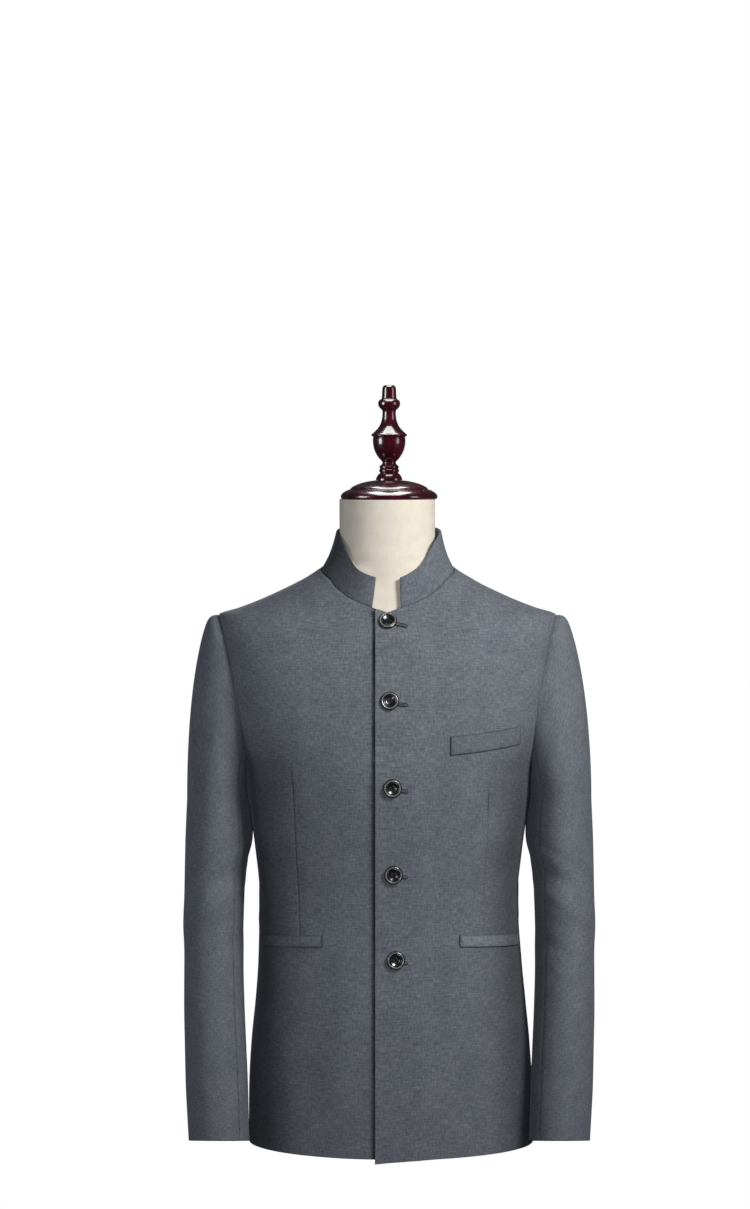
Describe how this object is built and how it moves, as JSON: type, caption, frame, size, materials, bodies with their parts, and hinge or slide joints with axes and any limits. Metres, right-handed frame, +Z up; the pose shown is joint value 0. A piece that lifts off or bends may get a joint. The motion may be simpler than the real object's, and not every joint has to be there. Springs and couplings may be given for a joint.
{
  "type": "mao suit jacket on a dress form",
  "caption": "Stand-collar mao suit jacket, buttoned down the front, with welt pockets and set-in sleeves, filled out on a limbless dress form with a turned wooden neck cap and finial.",
  "frame": {"origin": "middle of the flat base of the dress form, on the surface that it stands on", "axes": "+Z up along the neck, -Y towards the jacket's front, +X towards the wearer's left"},
  "size_m": [0.5314, 0.2751, 0.9884],
  "materials": {
    "jacket_cloth": "fine blue-grey cloth with a slubby plain weave and a slight sheen",
    "button": "polished black with a raised rim and four holes",
    "form_linen": "plain beige linen cover",
    "form_wood": "turned wood under a dark red high-gloss lacquer"
  },
  "bodies": {
    "root": {"front_left": "jacket_cloth", "front_right": "jacket_cloth", "back": "jacket_cloth", "collar": "jacket_cloth", "top_sleeve_left": "jacket_cloth", "under_sleeve_left": "jacket_cloth", "top_sleeve_right": "jacket_cloth", "under_sleeve_right": "jacket_cloth", "chest_welt": "jacket_cloth", "pocket_welt_left": "jacket_cloth", "pocket_welt_right": "jacket_cloth", "button_1": "button", "button_2": "button", "button_3": "button", "button_4": "button", "button_5": "button", "form_torso": "form_linen", "neck_cap": "form_wood", "finial": "form_wood"}
  },
  "joints": []
}
